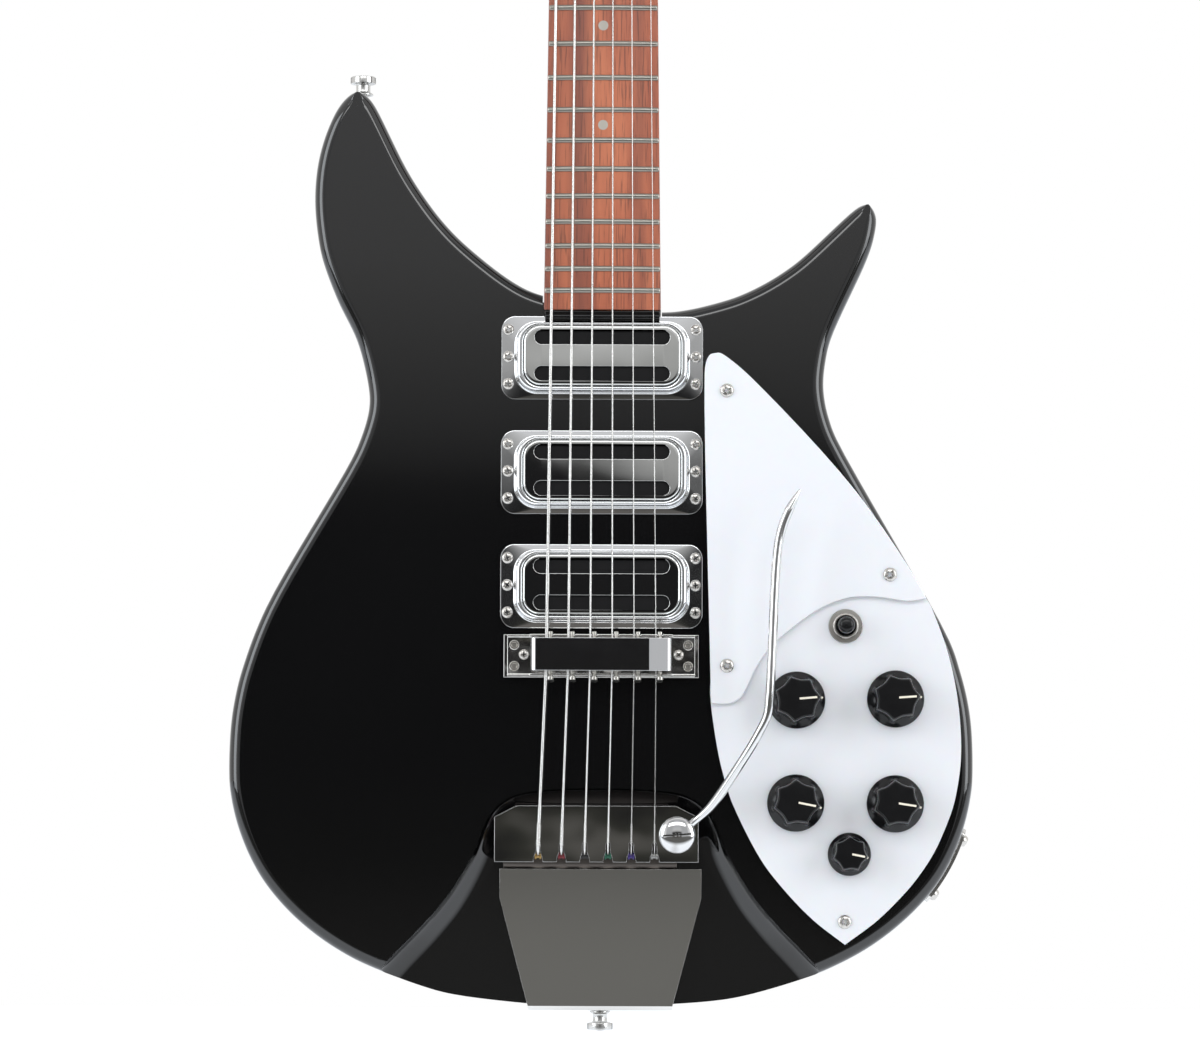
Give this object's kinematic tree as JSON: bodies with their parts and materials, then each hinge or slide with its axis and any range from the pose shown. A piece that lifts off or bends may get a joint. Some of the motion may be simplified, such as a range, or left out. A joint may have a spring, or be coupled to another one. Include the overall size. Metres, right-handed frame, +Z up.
{
  "type": "semi-hollow electric guitar",
  "caption": "Semi-hollow electric guitar with a horned body, scooped tail, set-in neck, chrome pickups, vibrato tailpiece with arm, and open-gear tuners.",
  "frame": {"origin": "centre of the body's tail end, at half the body's depth", "axes": "+Z up along the neck, -Y out of the face towards the player's audience, +X to the controls' side seen from the front"},
  "size_m": [0.318, 0.0715, 0.882],
  "materials": {
    "black_lacquer": "gloss black lacquer over maple",
    "red_brown_board": "clear gloss lacquer over red-brown rosewood, with nickel-silver frets",
    "nut_material": "satin",
    "chrome": "polished",
    "nickel": "nickel plated, satin",
    "string_steel": "plain and round-wound steel",
    "white_acrylic": "gloss sheet",
    "black_plastic": "gloss moulding",
    "zinc_plate": "zinc plated"
  },
  "bodies": {
    "guitar": {"body_front": "black_lacquer", "body_back": "black_lacquer", "neck": "black_lacquer", "fretboard": "red_brown_board", "nut": "nut_material", "string_1": "string_steel", "string_2": "string_steel", "string_3": "string_steel", "string_4": "string_steel", "string_5": "string_steel", "string_6": "string_steel", "vibrato_spring": "string_steel", "tuner_plate_bass": "nickel", "tuner_plate_treble": "nickel", "saddle_1": "nickel", "saddle_2": "nickel", "saddle_3": "nickel", "saddle_4": "nickel", "saddle_5": "nickel", "saddle_6": "nickel", "toggle_switch": "nickel", "pickup_bezel_1": "chrome", "pickup_bezel_2": "chrome", "pickup_bezel_3": "chrome", "pickup_cover_1": "chrome", "pickup_cover_2": "chrome", "pickup_cover_3": "chrome", "bridge_base": "chrome", "bridge_cover": "chrome", "tailpiece_base": "chrome", "output_jack": "chrome", "strap_button_end": "chrome", "strap_button_horn": "chrome", "pickup_coil_1": "black_plastic", "pickup_coil_2": "black_plastic", "pickup_coil_3": "black_plastic", "pickguard_lower": "white_acrylic", "pickguard_upper": "white_acrylic", "pot_plate": "zinc_plate"},
    "vibrato": {"vibrato_plate": "chrome", "arm_screw": "chrome"},
    "arm": {"vibrato_arm": "chrome"},
    "knob_upper_left": {"knob_upper_left": "black_plastic"},
    "knob_upper_right": {"knob_upper_right": "black_plastic"},
    "knob_lower_left": {"knob_lower_left": "black_plastic"},
    "knob_lower_right": {"knob_lower_right": "black_plastic"},
    "knob_small": {"knob_small": "black_plastic"},
    "toggle_lever": {"toggle_lever": "black_plastic"},
    "tuner_key_1": {"tuner_key_1": "nickel"},
    "tuner_post_1": {"tuner_post_1": "nickel"},
    "tuner_key_2": {"tuner_key_2": "nickel"},
    "tuner_post_2": {"tuner_post_2": "nickel"},
    "tuner_key_3": {"tuner_key_3": "nickel"},
    "tuner_post_3": {"tuner_post_3": "nickel"},
    "tuner_key_4": {"tuner_key_4": "nickel"},
    "tuner_post_4": {"tuner_post_4": "nickel"},
    "tuner_key_5": {"tuner_key_5": "nickel"},
    "tuner_post_5": {"tuner_post_5": "nickel"},
    "tuner_key_6": {"tuner_key_6": "nickel"},
    "tuner_post_6": {"tuner_post_6": "nickel"}
  },
  "joints": [
    {"name": "vibrato_rock", "type": "hinge", "parent": "guitar", "child": "vibrato", "pos_m": [0, -0.014, 0.058], "axis": [1, 0, 0], "range_deg": [-2, 3], "stiffness_Nm_per_rad": 5, "deforming": ["string_1", "string_2", "string_3", "string_4", "string_5", "string_6", "vibrato_spring"]},
    {"name": "arm_swing", "type": "hinge", "parent": "vibrato", "child": "arm", "pos_m": [0.0326, -0.0223, 0.0731], "axis": [0, -1, 0], "range_deg": [-12, 55]},
    {"name": "knob_upper_left_turn", "type": "hinge", "parent": "guitar", "child": "knob_upper_left", "pos_m": [0.0835, -0.0209, 0.1308], "axis": [0, -1, 0], "range_deg": [-140, 140]},
    {"name": "knob_upper_right_turn", "type": "hinge", "parent": "guitar", "child": "knob_upper_right", "pos_m": [0.1257, -0.0209, 0.1314], "axis": [0, -1, 0], "range_deg": [-140, 140]},
    {"name": "knob_lower_left_turn", "type": "hinge", "parent": "guitar", "child": "knob_lower_left", "pos_m": [0.0831, -0.0209, 0.0869], "axis": [0, -1, 0], "range_deg": [-140, 140]},
    {"name": "knob_lower_right_turn", "type": "hinge", "parent": "guitar", "child": "knob_lower_right", "pos_m": [0.1255, -0.0209, 0.0867], "axis": [0, -1, 0], "range_deg": [-140, 140]},
    {"name": "knob_small_turn", "type": "hinge", "parent": "guitar", "child": "knob_small", "pos_m": [0.1059, -0.0209, 0.0652], "axis": [0, -1, 0], "range_deg": [-140, 140]},
    {"name": "toggle_flip", "type": "hinge", "parent": "guitar", "child": "toggle_lever", "pos_m": [0.1044, -0.0185, 0.1625], "axis": [1, 0, 0], "range_deg": [-12, 12]},
    {"name": "key_1_turn", "type": "hinge", "parent": "guitar", "child": "tuner_key_1", "pos_m": [0.023, 0.00721, 0.72884], "axis": [1, 0, 0], "continuous": true},
    {"name": "post_1_turn", "type": "hinge", "parent": "guitar", "child": "tuner_post_1", "pos_m": [0.023, -0.01319, 0.72432], "axis": [0, -0.9848, 0.1736], "continuous": true},
    {"name": "key_2_turn", "type": "hinge", "parent": "guitar", "child": "tuner_key_2", "pos_m": [0.023, 0.01416, 0.76824], "axis": [1, 0, 0], "continuous": true},
    {"name": "post_2_turn", "type": "hinge", "parent": "guitar", "child": "tuner_post_2", "pos_m": [0.023, -0.00624, 0.76371], "axis": [0, -0.9848, 0.1736], "continuous": true},
    {"name": "key_3_turn", "type": "hinge", "parent": "guitar", "child": "tuner_key_3", "pos_m": [0.023, 0.0211, 0.80763], "axis": [1, 0, 0], "continuous": true},
    {"name": "post_3_turn", "type": "hinge", "parent": "guitar", "child": "tuner_post_3", "pos_m": [0.023, 0.00071, 0.8031], "axis": [0, -0.9848, 0.1736], "continuous": true},
    {"name": "key_4_turn", "type": "hinge", "parent": "guitar", "child": "tuner_key_4", "pos_m": [-0.023, 0.0211, 0.80763], "axis": [1, 0, 0], "continuous": true},
    {"name": "post_4_turn", "type": "hinge", "parent": "guitar", "child": "tuner_post_4", "pos_m": [-0.023, 0.00071, 0.8031], "axis": [0, -0.9848, 0.1736], "continuous": true},
    {"name": "key_5_turn", "type": "hinge", "parent": "guitar", "child": "tuner_key_5", "pos_m": [-0.023, 0.01416, 0.76824], "axis": [1, 0, 0], "continuous": true},
    {"name": "post_5_turn", "type": "hinge", "parent": "guitar", "child": "tuner_post_5", "pos_m": [-0.023, -0.00624, 0.76371], "axis": [0, -0.9848, 0.1736], "continuous": true},
    {"name": "key_6_turn", "type": "hinge", "parent": "guitar", "child": "tuner_key_6", "pos_m": [-0.023, 0.00721, 0.72884], "axis": [1, 0, 0], "continuous": true},
    {"name": "post_6_turn", "type": "hinge", "parent": "guitar", "child": "tuner_post_6", "pos_m": [-0.023, -0.01319, 0.72432], "axis": [0, -0.9848, 0.1736], "continuous": true}
  ],
  "couplings": [
    {"joint": "post_1_turn", "follows": "key_1_turn", "ratio": -0.071429},
    {"joint": "post_2_turn", "follows": "key_2_turn", "ratio": -0.071429},
    {"joint": "post_3_turn", "follows": "key_3_turn", "ratio": -0.071429},
    {"joint": "post_4_turn", "follows": "key_4_turn", "ratio": 0.071429},
    {"joint": "post_5_turn", "follows": "key_5_turn", "ratio": 0.071429},
    {"joint": "post_6_turn", "follows": "key_6_turn", "ratio": 0.071429}
  ]
}
